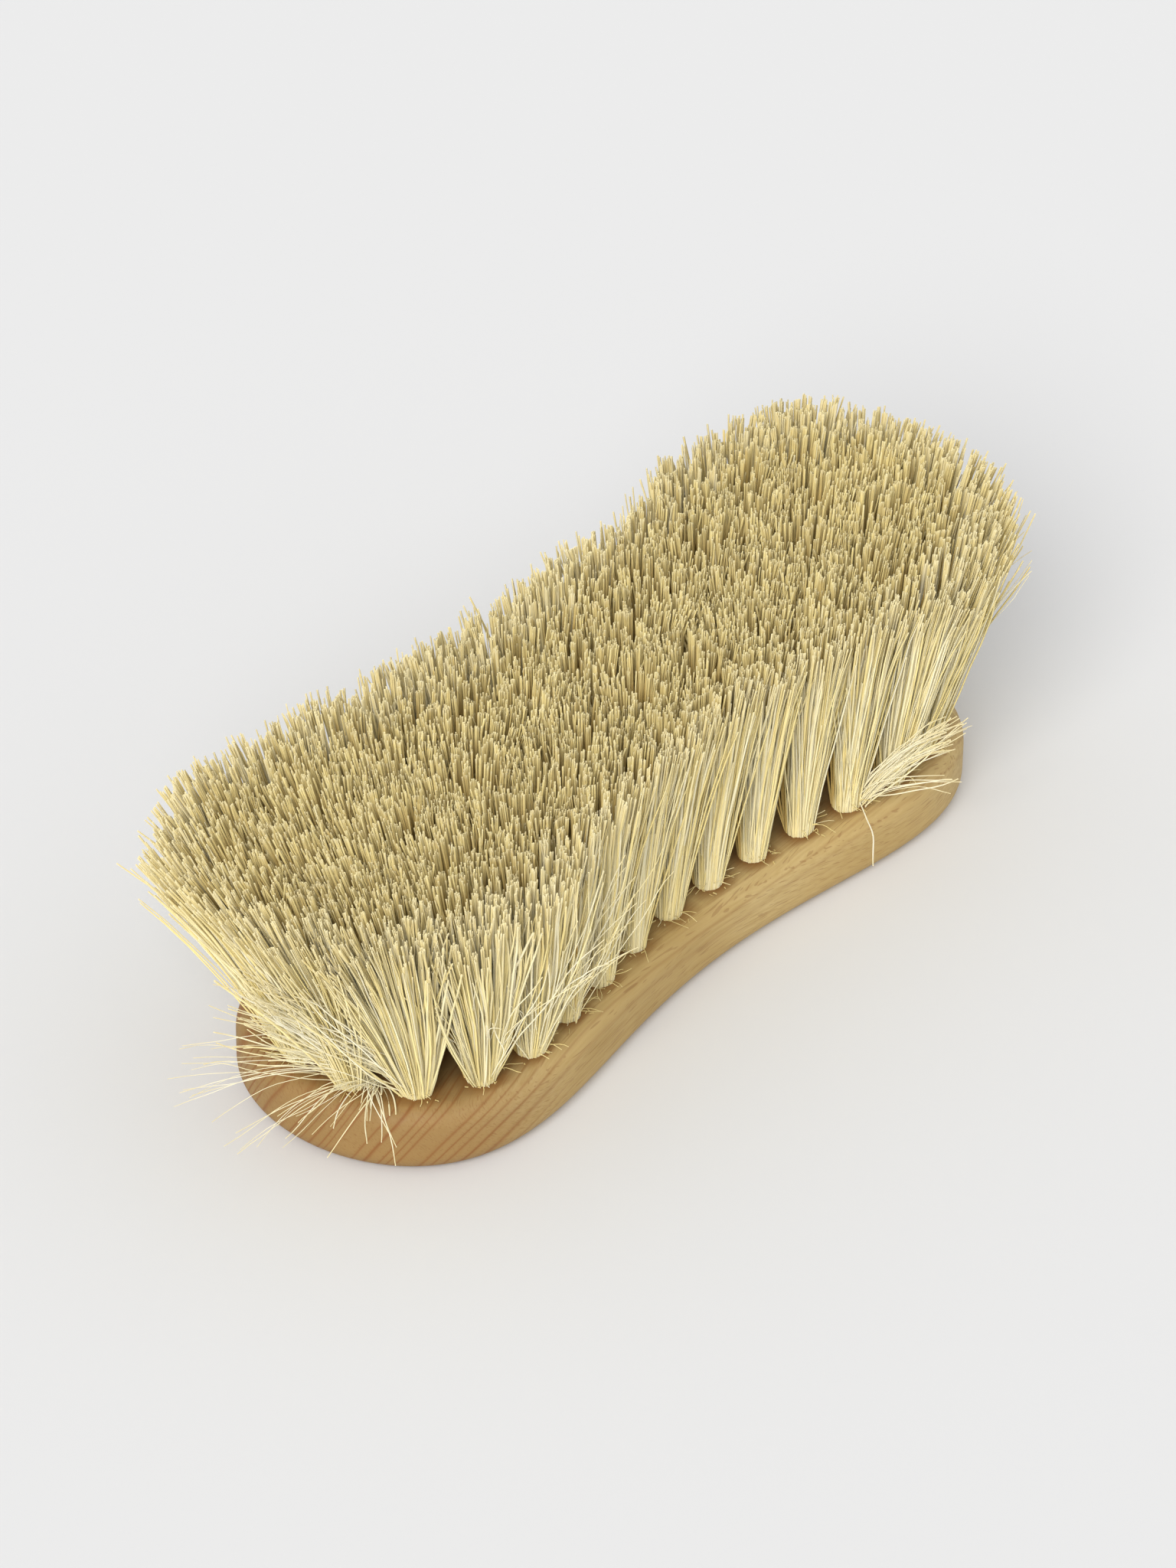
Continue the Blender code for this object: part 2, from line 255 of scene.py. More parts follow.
def carveBack():
    points, outwards = brushOutline(back["outlinePoints"])
    # Rings from the grip face up round both edges and in over the bristle face: inset and height in mm
    grip, face = back["gripRounding"], back["faceRounding"]
    turns = [math.pi / 2 * i / back["roundingSteps"] for i in range(back["roundingSteps"] + 1)]
    rings = [(grip * (1 - math.sin(turn)), grip * (1 - math.cos(turn))) for turn in turns]
    rings += [(face * (1 - math.cos(turn)), faceHeight - face * (1 - math.sin(turn))) for turn in turns]
    rings += [(face + (i + 1) * back["faceRingStep"], faceHeight) for i in range(back["faceRings"])]
    bm = bmesh.new()
    loops = []
    for inset, z in rings:
        loops.append([bm.verts.new((x * mm, y * mm, z * mm)) for x, y in points - outwards * inset])
    count = len(points)
    for low, high in zip(loops, loops[1:]):
        for i in range(count):
            j = (i + 1) % count
            bm.faces.new((low[i], low[j], high[j], high[i]))
    bm.faces.new(list(reversed(loops[0])))
    bm.faces.new(loops[-1])
    mesh = bpy.data.meshes.new("back_carved")
    bm.to_mesh(mesh)
    bm.free()
    carved = addObject("back_carved", mesh)
    bits = drillBits()
    holes = carved.modifiers.new("drilled holes", "BOOLEAN")
    holes.operation = "DIFFERENCE"
    holes.solver = "EXACT"
    holes.object = bits
    graph = bpy.context.evaluated_depsgraph_get()
    carved.data = bpy.data.meshes.new_from_object(carved.evaluated_get(graph))
    carved.modifiers.clear()
    bpy.data.objects.remove(bits)
    carved.data.shade_smooth()
    carved.data.set_sharp_from_angle(angle=math.radians(back["sharpAngle"]))

    # Grease, and painted shade of the bristles, darken the face round the foot of each tuft
    places = np.array([v.co for v in carved.data.vertices]) / mm
    away = np.linalg.norm(places[:, None, :2] - tuftRoots[None], axis=2).min(1) - back["holeWidth"] / 2
    onFace = places[:, 2] > faceHeight - back["greaseAndShadeDepth"]
    greaseAndShade = np.clip(1 - away / back["greaseAndShadeReach"], 0, 1) * onFace
    carved.data.attributes.new("greaseAndShade", "FLOAT", "POINT").data.foreach_set("value", greaseAndShade.astype(np.float32))
    return carved


oiledBeech = {  # sizes in mm, and a grain's size as along the back, round the log and out from its middle
    "blotches": ((0.30, "B2945A"), (0.52, "C4A86F"), (0.72, "D0B882")), "pore": "B2945A", "nearDarker": "906C3C",
    # the colour round the feet of the tufts is grease and painted shade of the bristles
    "ringLine": "8A5628", "fleck": "86582E", "greaseAndShade": "8A6234",
    "pithSide": -85.0, "pithDepth": -62.0, "faceRadius": 110.0,  # the middle of the log, and the face's way from it
    "wander": 9.0, "wanderSize": (130, 60, 60), "bendFrom": -20.0, "bend": 0.0025,
    "ringWidth": 2.2, "unevenness": 8.0, "unevenRate": 0.11, "ringStrength": (0.06, 0.32),  # mm, and per mm
    "lateWood": (
        (0.0, "909090"), (0.16, "303030"), (0.45, "000000"), (0.70, "505050"), (0.88, "FFFFFF"), (1.0, "B0B0B0"),
    ),
    # the wood darkens from x -45 to -95 mm, towards the near end, and its rings grow stronger there
    "nearDarkerFrom": (-45, -95), "nearDarkerShare": 0.75, "nearDarkerRings": 0.62,
    "fleckSize": (7.0, 0.2, 0.7), "fleckCut": (0.66, 0.72), "fleckShare": 0.36, "fleckDepth": 0.5,
    "poreSize": (26, 0.55, 0.7), "poreCut": (0.35, 0.70), "poreShare": 0.55,
    "blotchSize": (60, 22, 22), "greaseAndShadeShare": 1.7,
    "ior": 1.5, "specular": 0.35, "roughness": (0.56, 0.72), "roughCut": (0.3, 0.7), "bump": 0.25, "bumpHeight": 0.12,
}


def beechMaterial():
    # Oiled European beech, planed and sanded: honey brown with a satin surface, thin darker late wood
    # at each growth ring and short dark ray flecks along the grain
    wood = bpy.data.materials.new("oiled_beech")
    wood.use_nodes = True
    tree = wood.node_tree
    shader = tree.nodes["Principled BSDF"].inputs
    shader["IOR"].default_value = oiledBeech["ior"]
    shader["Specular IOR Level"].default_value = oiledBeech["specular"]
    place = addNode(tree, "ShaderNodeTexCoord").outputs["Object"]
    inMm = addNode(tree, "ShaderNodeVectorMath", {0: place, "Scale": 1 / mm}, operation="SCALE")

    # The log is never quite straight: the rings wander by a few mm over its length, and swerve at the near end
    slow = addNode(tree, "ShaderNodeVectorMath", {0: inMm, 1: oiledBeech["wanderSize"]}, operation="DIVIDE")
    wander = addNode(tree, "ShaderNodeTexNoise", {"Vector": slow, "Scale": 1.0, "Detail": 2.0}).outputs["Color"]
    wander = addNode(tree, "ShaderNodeVectorMath", {0: wander, 1: (0.5, 0.5, 0.5)}, operation="SUBTRACT")
    wander = addNode(tree, "ShaderNodeVectorMath", {0: wander, "Scale": oiledBeech["wander"]}, operation="SCALE")
    bent = addNode(tree, "ShaderNodeVectorMath", {0: inMm, 1: wander}, operation="ADD")
    parts = addNode(tree, "ShaderNodeSeparateXYZ", {0: bent}).outputs
    past = addNode(tree, "ShaderNodeMath", {0: parts[0], 1: oiledBeech["bendFrom"]}, operation="SUBTRACT")
    past = addNode(tree, "ShaderNodeMath", {0: past, 1: 0.0}, operation="MINIMUM")
    swerve = addNode(tree, "ShaderNodeMath", {0: past, 1: past}, operation="MULTIPLY")
    y = addNode(tree, "ShaderNodeMath", {0: swerve, 1: oiledBeech["bend"], 2: parts[1]}, operation="MULTIPLY_ADD")
    y = addNode(tree, "ShaderNodeMath", {0: y, 1: oiledBeech["pithSide"]}, operation="SUBTRACT")
    z = addNode(tree, "ShaderNodeMath", {0: parts[2], 1: oiledBeech["pithDepth"]}, operation="SUBTRACT")
    ySquared = addNode(tree, "ShaderNodeMath", {0: y, 1: y}, operation="MULTIPLY")
    distance = addNode(tree, "ShaderNodeMath", {0: z, 1: z, 2: ySquared}, operation="MULTIPLY_ADD")
    distance = addNode(tree, "ShaderNodeMath", {0: distance}, operation="SQRT")
    around = addNode(tree, "ShaderNodeMath", {0: z, 1: y}, operation="ARCTAN2")
    around = addNode(tree, "ShaderNodeMath", {0: around, 1: oiledBeech["faceRadius"]}, operation="MULTIPLY")
    grain = addNode(tree, "ShaderNodeCombineXYZ", {0: parts[0], 1: around, 2: distance})

    # Rings of uneven width, each with late wood of its own strength
    uneven = addNode(tree, "ShaderNodeTexNoise", {
        "W": distance, "Scale": oiledBeech["unevenRate"], "Detail": 1.0,
    }, noise_dimensions="1D")
    rings = addNode(tree, "ShaderNodeMath", {
        0: uneven, 1: oiledBeech["unevenness"], 2: distance,
    }, operation="MULTIPLY_ADD")
    rings = addNode(tree, "ShaderNodeMath", {0: rings, 1: oiledBeech["ringWidth"]}, operation="DIVIDE")
    late = addNode(tree, "ShaderNodeValToRGB", {"Fac": addNode(tree, "ShaderNodeMath", {0: rings}, operation="FRACT")})
    fillRamp(late, oiledBeech["lateWood"])
    ringNumber = addNode(tree, "ShaderNodeMath", {0: rings}, operation="FLOOR")
    strength = addNode(tree, "ShaderNodeTexWhiteNoise", {"W": ringNumber}, noise_dimensions="1D").outputs["Value"]
    weak, strong = oiledBeech["ringStrength"]
    strength = addNode(tree, "ShaderNodeMapRange", {"Value": strength, "To Min": weak, "To Max": strong})

    # Towards the near end the wood is darker and its rings stand out more
    start, end = oiledBeech["nearDarkerFrom"]
    nearDarker = addNode(tree, "ShaderNodeMapRange", {
        "Value": parts[0], "From Min": start, "From Max": end,
    }, interpolation_type="SMOOTHSTEP")
    strength = addNode(tree, "ShaderNodeMath", {
        0: nearDarker, 1: oiledBeech["nearDarkerRings"], 2: strength,
    }, operation="MULTIPLY_ADD")

    # Ray flecks, 3 to 4 mm long and 0.2 mm wide. Pores drawn out along the grain: the real ones, under 0.1 mm wide,
    # are too fine to show, so these are some 0.3 mm wide. Broad blotches where the oil went deeper
    field = {}
    for name, source, detail, roughness in (
        ("fleck", grain, 0.0, 0.5), ("pore", grain, 3.0, 0.6), ("blotch", bent, 2.0, 0.5),
    ):
        spot = addNode(tree, "ShaderNodeVectorMath", {0: source, 1: oiledBeech[name + "Size"]}, operation="DIVIDE")
        field[name] = addNode(tree, "ShaderNodeTexNoise", {
            "Vector": spot, "Scale": 1.0, "Detail": detail, "Roughness": roughness,
        })
    low, high = oiledBeech["fleckCut"]
    flecks = addNode(tree, "ShaderNodeMapRange", {"Value": field["fleck"], "From Min": low, "From Max": high})
    low, high = oiledBeech["poreCut"]
    pores = addNode(tree, "ShaderNodeMapRange", {
        "Value": field["pore"], "From Min": low, "From Max": high, "To Max": oiledBeech["poreShare"],
    })
    tone = addNode(tree, "ShaderNodeValToRGB", {"Fac": field["blotch"]})
    fillRamp(tone, oiledBeech["blotches"])
    # Round the foot of each tuft: grease and painted shade of the bristles, read from the back's mesh
    greaseAndShade = addNode(tree, "ShaderNodeAttribute", attribute_name="greaseAndShade").outputs["Fac"]
    greaseAndShade = addNode(tree, "ShaderNodeMath", {0: greaseAndShade, 1: field["blotch"]}, operation="MULTIPLY")
    greaseAndShade = addNode(tree, "ShaderNodeMath", {
        0: greaseAndShade, 1: oiledBeech["greaseAndShadeShare"],
    }, operation="MULTIPLY", use_clamp=True)

    # One colour over the other, each by its share
    share = {
        "pore": pores,
        "nearDarker": addNode(tree, "ShaderNodeMath", {0: nearDarker, 1: oiledBeech["nearDarkerShare"]}, operation="MULTIPLY"),
        "ringLine": addNode(tree, "ShaderNodeMath", {0: late, 1: strength}, operation="MULTIPLY"),
        "fleck": addNode(tree, "ShaderNodeMath", {0: flecks, 1: oiledBeech["fleckShare"]}, operation="MULTIPLY"),
        "greaseAndShade": greaseAndShade,
    }
    colour = tone
    for name in share:
        colour = addNode(tree, "ShaderNodeMix", {
            0: share[name], 6: colour, 7: toLinear(oiledBeech[name]),
        }, data_type="RGBA").outputs[2]
    tree.links.new(colour, shader["Base Color"])

    (low, high), (smooth, rough) = oiledBeech["roughCut"], oiledBeech["roughness"]
    dull = addNode(tree, "ShaderNodeMapRange", {
        "Value": field["pore"], "From Min": low, "From Max": high, "To Min": smooth, "To Max": rough,
    })
    tree.links.new(dull.outputs[0], shader["Roughness"])
    relief = addNode(tree, "ShaderNodeMath", {
        0: flecks, 1: -oiledBeech["fleckDepth"], 2: field["pore"],
    }, operation="MULTIPLY_ADD")
    bump = addNode(tree, "ShaderNodeBump", {
        "Height": relief, "Strength": oiledBeech["bump"], "Distance": oiledBeech["bumpHeight"] * mm,
    })
    tree.links.new(bump.outputs[0], shader["Normal"])
    return wood


beech = beechMaterial()
carvedBack = carveBack()
carvedBack.data.materials.clear()
carvedBack.data.materials.append(beech)
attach(carvedBack, "root")
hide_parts("beech_back")
print("beech back carved:", len(carvedBack.data.polygons), "faces")


# Natural fibre

fibre = {
    "tones": ("D6C07E", "D8C689", "F3E3A2", "F4ECC8", "F8F3DC"),  # golden to bleached
    "patchRate": (90.0, 9.0, 1.0), "patchCut": (0.3, 0.7), "patchTone": (0.92, 1.04),  # a patch is 6 mm long
    # colour, v where it starts and where it is full, and its share there. All are painted: golden painted shade below
    # the tips inside the tufts and at the rim, a warm painted shade near the roots, and a painted highlight on the
    # cream cut ends
    "inside": ("D5B25C", 0.95, 0.78, 0.9), "rimEnd": ("E1D19A", 0.84, 0.96, 0.6),
    "foot": ("ECDC9E", 0.5, 0.0, 0.35), "cutEnd": ("F0E8C4", 0.975, 0.995, 0.5),
    "roughness": 0.65, "scatter": 1.0, "ior": 1.53, "specular": 0.1,
    "tipTaperFrom": 0.75, "chartWidth": 1 / 128, "capHeight": 0.005, "chartEnds": (0.006, 0.994),
}


def fibreMaterial():
    # Tampico, a plant fibre of pale straw, with painted light and shade: paler on the open sides, golden brown painted
    # shade down between the tips, and a cream painted highlight at the cut ends. The map's v runs from root to tip. Its
    # u holds the fibre's tone, in the lower half for fibres inside the tufts and in the upper half for those on the
    # open sides
    straw = bpy.data.materials.new("natural_tampico")
    straw.use_nodes = True
    tree = straw.node_tree
    shader = tree.nodes["Principled BSDF"].inputs
    shader["Roughness"].default_value = fibre["roughness"]
    shader["Diffuse Roughness"].default_value = fibre["scatter"]
    shader["IOR"].default_value = fibre["ior"]
    shader["Specular IOR Level"].default_value = fibre["specular"]
    chart = addNode(tree, "ShaderNodeUVMap", uv_map="OFBake")
    parts = addNode(tree, "ShaderNodeSeparateXYZ", {0: chart}).outputs
    tone = addNode(tree, "ShaderNodeMath", {0: parts[0], 1: 2.0}, operation="MULTIPLY")
    tone = addNode(tree, "ShaderNodeMath", {0: tone}, operation="FRACT")
    tone = addNode(tree, "ShaderNodeValToRGB", {"Fac": tone})
    fillRamp(tone, [(i / (len(fibre["tones"]) - 1), hexText) for i, hexText in enumerate(fibre["tones"])])

    # Each fibre is a little uneven along its length
    (low, high), (darker, lighter) = fibre["patchCut"], fibre["patchTone"]
    patches = addNode(tree, "ShaderNodeVectorMath", {0: chart, 1: fibre["patchRate"]}, operation="MULTIPLY")
    patches = addNode(tree, "ShaderNodeTexNoise", {"Vector": patches, "Scale": 1.0, "Detail": 2.0})
    patches = addNode(tree, "ShaderNodeMapRange", {
        "Value": patches, "From Min": low, "From Max": high, "To Min": darker, "To Max": lighter,
    })
    colour = addNode(tree, "ShaderNodeVectorMath", {0: tone, "Scale": patches}, operation="SCALE")

    # Painted shade: fibres inside the tufts go golden brown from a few mm below their tips, where the tips shade them.
    # The open ones turn a little more golden towards theirs, painted shade of the gaps at the rim. All get a warm
    # painted shade near the root and a painted highlight on their cream cut ends
    inner = addNode(tree, "ShaderNodeMath", {0: parts[0], 1: 0.5}, operation="LESS_THAN")
    outside = addNode(tree, "ShaderNodeMath", {0: 1.0, 1: inner}, operation="SUBTRACT")
    for name, where in (("inside", inner), ("rimEnd", outside), ("foot", None), ("cutEnd", None)):
        hexText, start, end, most = fibre[name]
        share = addNode(tree, "ShaderNodeMapRange", {
            "Value": parts[1], "From Min": start, "From Max": end, "To Max": most,
        })
        if where is not None:
            share = addNode(tree, "ShaderNodeMath", {0: where, 1: share}, operation="MULTIPLY")
        colour = addNode(tree, "ShaderNodeMix", {
            0: share, 6: colour, 7: toLinear(hexText),
        }, data_type="RGBA").outputs[2]
    tree.links.new(colour, shader["Base Color"])
    return straw


def makeFibreTree():
    # Sweeps each point into a fibre along the curve root, bend, tip, with an uneven wave and a cut end
    tree = bpy.data.node_groups.new("swept fibres", "GeometryNodeTree")
    for title, kind in (
        ("Points", "Geometry"), ("Steps", "Int"), ("Sides", "Int"), ("Thickness", "Float"), ("Tip Taper", "Float"),
        ("Crookedness", "Float"), ("Crook Length", "Float"), ("Seed", "Float"), ("Material", "Material"),
    ):
        tree.interface.new_socket(title, in_out="INPUT", socket_type="NodeSocket" + kind)
    tree.interface.new_socket("Fibres", in_out="OUTPUT", socket_type="NodeSocketGeometry")
    given = addNode(tree, "NodeGroupInput").outputs
    stored = {}
    for kind, names in (
        ("FLOAT_VECTOR", ("root", "bend", "tip")), ("FLOAT", ("girth", "shade", "wave", "along", "around")),
    ):
        for name in names:
            stored[name] = addNode(tree, "GeometryNodeInputNamedAttribute", {"Name": name}, data_type=kind)

    rod = addNode(tree, "GeometryNodeCurvePrimitiveLine", {"End": (0, 0, 1)})
    steps = addNode(tree, "ShaderNodeMath", {0: given["Steps"], 1: 1.0}, operation="ADD")
    rod = addNode(tree, "GeometryNodeResampleCurve", {"Curve": rod, "Count": steps})
    rods = addNode(tree, "GeometryNodeInstanceOnPoints", {"Points": given["Points"], "Instance": rod})
    rods = addNode(tree, "GeometryNodeRealizeInstances", {"Geometry": rods})

    # The curve is mixed from its three points, two by two
    along = addNode(tree, "GeometryNodeSplineParameter").outputs["Factor"]
    curve = [stored["root"], stored["bend"], stored["tip"]]
    while len(curve) > 1:
        curve = [
            addNode(tree, "ShaderNodeMix", {0: along, 4: start, 5: end}, data_type="VECTOR").outputs[1]
            for start, end in zip(curve, curve[1:])
        ]

    # The wave grows from nothing at the root. Noise stays within about a quarter of its middle
    chord = addNode(tree, "ShaderNodeVectorMath", {
        0: stored["root"], 1: stored["tip"],
    }, operation="DISTANCE").outputs["Value"]
    waves = addNode(tree, "ShaderNodeMath", {0: chord, 1: given["Crook Length"]}, operation="DIVIDE")
    waves = addNode(tree, "ShaderNodeMath", {0: waves, 1: along}, operation="MULTIPLY")
    spot = addNode(tree, "ShaderNodeCombineXYZ", {0: stored["wave"], 1: given["Seed"], 2: waves})
    wobble = addNode(tree, "ShaderNodeTexNoise", {"Vector": spot, "Scale": 1.0, "Detail": 1.0}).outputs["Color"]
    wobble = addNode(tree, "ShaderNodeVectorMath", {0: wobble, 1: (0.5, 0.5, 0.5)}, operation="SUBTRACT")
    size = addNode(tree, "ShaderNodeMath", {0: given["Crookedness"], 1: along}, operation="MULTIPLY")
    size = addNode(tree, "ShaderNodeMath", {0: size, 1: 4.0}, operation="MULTIPLY")
    wobble = addNode(tree, "ShaderNodeVectorMath", {0: wobble, "Scale": size}, operation="SCALE")
    bent = addNode(tree, "ShaderNodeVectorMath", {0: curve[0], 1: wobble}, operation="ADD")
    rods = addNode(tree, "GeometryNodeStoreNamedAttribute", {
        "Geometry": rods, "Name": "along", "Value": along,
    }, data_type="FLOAT", domain="POINT")
    rods = addNode(tree, "GeometryNodeSetPosition", {"Geometry": rods, "Position": bent})

    # The section, thinner towards the tip
    section = addNode(tree, "GeometryNodeCurvePrimitiveCircle", {"Resolution": given["Sides"], "Radius": 0.5})
    around = addNode(tree, "GeometryNodeSplineParameter").outputs["Factor"]
    section = addNode(tree, "GeometryNodeStoreNamedAttribute", {
        "Geometry": section, "Name": "around", "Value": around,
    }, data_type="FLOAT", domain="POINT")
    taper = addNode(tree, "ShaderNodeMapRange", {
        "Value": along, "From Min": fibre["tipTaperFrom"], "From Max": 1.0,
    })
    taper = addNode(tree, "ShaderNodeMath", {0: taper, 1: given["Tip Taper"]}, operation="MULTIPLY")
    taper = addNode(tree, "ShaderNodeMath", {0: 1.0, 1: taper}, operation="SUBTRACT")
    width = addNode(tree, "ShaderNodeMath", {0: given["Thickness"], 1: stored["girth"]}, operation="MULTIPLY")
    width = addNode(tree, "ShaderNodeMath", {0: width, 1: taper}, operation="MULTIPLY")
    skin = addNode(tree, "GeometryNodeCurveToMesh", {
        "Curve": rods, "Profile Curve": section, "Scale": width, "Fill Caps": True,
    })

    # The map that the material reads: u is the fibre's tone, v runs from root to tip. Both get a little width
    # from the place round the fibre, so that no face is flat in the map
    u = addNode(tree, "ShaderNodeMath", {
        0: stored["around"], 1: fibre["chartWidth"], 2: stored["shade"],
    }, operation="MULTIPLY_ADD")
    turn = addNode(tree, "ShaderNodeMath", {0: stored["around"], 1: 2 * math.pi}, operation="MULTIPLY")
    turn = addNode(tree, "ShaderNodeMath", {0: turn}, operation="SINE")
    low, high = fibre["chartEnds"]
    v = addNode(tree, "ShaderNodeMapRange", {"Value": stored["along"], "To Min": low, "To Max": high})
    v = addNode(tree, "ShaderNodeMath", {0: turn, 1: fibre["capHeight"], 2: v}, operation="MULTIPLY_ADD")
    chart = addNode(tree, "ShaderNodeCombineXYZ", {0: u, 1: v})
    skin = addNode(tree, "GeometryNodeStoreNamedAttribute", {
        "Geometry": skin, "Name": "OFBake", "Value": chart,
    }, data_type="FLOAT2", domain="CORNER")
    skin = addNode(tree, "GeometryNodeSetShadeSmooth", {"Geometry": skin})
    skin = addNode(tree, "GeometryNodeRealizeInstances", {"Geometry": skin})
    skin = addNode(tree, "GeometryNodeSetMaterial", {"Geometry": skin, "Material": given["Material"]})
    addNode(tree, "NodeGroupOutput", {"Fibres": skin})
    return tree


straw = fibreMaterial()
fibreTree = makeFibreTree()
sweeping = {  # what the tree gets, unless a piece asks for something else
    "Steps": 6, "Sides": 3, "Thickness": 0.42 * mm, "Tip Taper": 0.1, "Crookedness": 0.8 * mm,
    "Crook Length": 22 * mm, "Seed": 0.5, "Material": straw,
}


def sweep(name, fibres, settings, nodes=()):
    # fibres: arrays of root, bend and tip in mm, girth as a share of the thickness, shade and wave
    count = len(fibres["root"])
    mesh = bpy.data.meshes.new(name)
    mesh.vertices.add(count)
    mesh.vertices.foreach_set("co", (fibres["root"] * mm).astype(np.float32).ravel())
    for key in ("root", "bend", "tip"):
        places = (fibres[key] * mm).astype(np.float32).ravel()
        mesh.attributes.new(key, "FLOAT_VECTOR", "POINT").data.foreach_set("vector", places)
    for key in ("girth", "shade", "wave"):
        mesh.attributes.new(key, "FLOAT", "POINT").data.foreach_set("value", fibres[key].astype(np.float32))
    piece = addObject(name, mesh)
    modifier = piece.modifiers.new("swept fibres", "NODES")
    modifier.node_group = fibreTree
    values = {**sweeping, **settings}
    for socket in fibreTree.interface.items_tree:
        if socket.in_out == "INPUT" and socket.name in values:
            modifier[socket.identifier] = values[socket.name]
    graph = bpy.context.evaluated_depsgraph_get()
    final = bpy.data.meshes.new_from_object(piece.evaluated_get(graph))
    piece.modifiers.clear()
    piece.data = final
    bpy.data.meshes.remove(mesh)
    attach(piece, "root")
    if len(nodes):
        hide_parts(*nodes)
    print(f"{name}: {count} fibres, {len(final.polygons)} faces")
    return piece


tufts = {
    "length": 52.0, "farLonger": 3.0, "farFrom": (70, 100), "topHeight": 70.5,  # mm, the fibres above the wood's face
    "rootRadius": 2.85, "rootDepth": 1.5, "leastHeight": 10.0, "endsFrom": 45, "spineHalf": 70,
    "bendHeight": 0.48, "leanEarly": 0.34,  # how high a fibre bends, how soon its tuft's line leaves the upright
    "fanEarly": 0.42, "fanSpread": 0.18,  # and how soon the fibre leaves that line
    "loose": {9: 0.5, 10: 0.42, 11: 0.55, 12: 0.55},  # outer tufts that fan out at once, and how soon
    "pastBox": (0.03, 8.5), "overFloor": 0.6,  # a fibre passes the CAD box by this share of it and these mm at most
}
carpet = {
    "fieldX": (-134, 118), "fieldY": (-56, 56), "tipSpacing": 0.78, "jitter": 0.48,  # mm, and a share of the spacing
    "thickness": 0.45,  # mm. The real fibres, 0.2 to 0.35 mm thick, are too fine and too many to draw
    "girth": (1.0, 0.16), "girths": (0.6, 1.5), "outerSteps": 7, "innerSteps": 6,
    "rimSoftness": 7.5, "rimLevel": 0.62, "rimUneven": (0.85, 1.15), "rimWidth": 0.6, "rimHeight": 1.3, "rimFling": 1.3,
    "blend": 1.8, "reach": 7.0, "crowding": 0.7, "footScatter": 0.2,
    "clumpSpacing": 2.3, "clumpJitter": 0.5, "clumpPull": (0.5, 0.86), "clumpShift": 0.45, "clumpHeight": 0.35,
    "lowClumps": 0.42, "clumpDrop": 2.2,  # share of the clumps that end below the others, and by how many mm
    "fibreHeight": 0.2, "short": 0.16, "shortfall": 1.4,  # the same for single fibres
    "swells": 150, "swellFrom": (-125, -50), "swellTo": (118, 50), "swellWidth": 6.0, "swellHeight": 1.2,
    "seamDepth": 1.5, "seamWidth": 1.3, "wanderers": 0.08, "wanderWidth": 3.0,
    # the tone added on the open sides and at the rim is painted light: those fibres are drawn paler
    "tone": 0.26, "paintedLightSideTone": 0.34, "toneAlong": 0.0001, "paintedLightRimTone": 0.08, "clumpTone": 0.05, "fibreTone": 0.10,
    "openOut": 1.0, "openAside": (4.0, -3.0), "openScatter": 1.0,  # mm from a tuft's middle to its open side
    "clumpWave": 3.7, "fibreWave": 0.7, "batches": 24, "seed": 11,
}
splay = (  # where the tufts of the ends reach to as well: number of the outer tuft, x and y in mm
    (6, -83, 40), (6, -89, 39), (7, -92, 34), (7, -97, 28), (8, -101, 21), (8, -104, 13), (8, -106, 7), (9, -108, 2),
    (9, -107, -5), (9, -105, -11), (10, -104, -17), (10, -102, -23), (10, -95, -26), (11, -90, -31), (11, -80, -33),
    (12, -72, -35), (12, -65, -34), (1, -6, 29), (2, -17, 31), (2, -25, 31), (30, 34, 30), (31, 21, 29), (32, 8, 28),
    (21, 65, -36), (22, 74, -35), (22, 83, -33), (23, 91, -29), (23, 101, -24), (24, 107, -15), (24, 110, -5),
    (25, 111, 4), (25, 109, 14), (26, 103, 22), (26, 99, 28), (27, 91, 33), (27, 80, 33), (28, 69, 34), (3, -35, 33),
    (4, -51, 36), (5, -68, 38),
)
veil = {
    "perTuft": 150, "perCentre": 20, "girth": (0.74, 0.14), "girths": (0.45, 1.2), "tone": (0.73, 0.09),
    "halfTurn": 105, "foot": (0.72, 1.0), "narrowing": 0.8, "outwards": (3.2, 1.3), "sideways": 6.6,
    "scatter": 1.5, "crossing": 0.34, "crossScatter": 4.6, "ends": (0.6, 0.99), "seed": 23,
}
waveRange = (0, 900)  # far apart in the noise, so that no two fibres wave alike
outer = np.array([name.startswith("tuft_outer") for name in tuftNames])
middle = np.array([name.startswith("tuft_middle") for name in tuftNames])
splayed = [tuftNames.index(f"tuft_outer_{number:02d}") for number, x, y in splay]
centreTuft = np.concatenate([np.arange(len(tuftNames)), splayed])
centres = np.concatenate([tuftTips, [(x, y) for number, x, y in splay]])

fanEarly = np.full(len(tuftNames), tufts["fanEarly"])
for number, early in tufts["loose"].items():
    fanEarly[tuftNames.index(f"tuft_outer_{number:02d}")] = early

# The tufts lean away from a spine down the middle of the brush
spineHalf = tufts["spineHalf"]
spine = np.stack([np.clip(tuftRoots[:, 0], -spineHalf, spineHalf), 0 * tuftRoots[:, 1]], 1)

share, reach = tufts["pastBox"]
sides = np.array([high - low for low, high in zip(*cadBounds)]) / mm
lowest = np.array(cadBounds[0]) / mm - sides * share - reach
highest = np.array(cadBounds[1]) / mm + sides * share + reach
lowest[2] = tufts["overFloor"]


def keepInside(points):
    return np.clip(points, lowest, highest)


def unit(vectors):
    return vectors / (np.linalg.norm(vectors, axis=1)[:, None] + 1e-6)


outwards = unit(tuftRoots - spine)


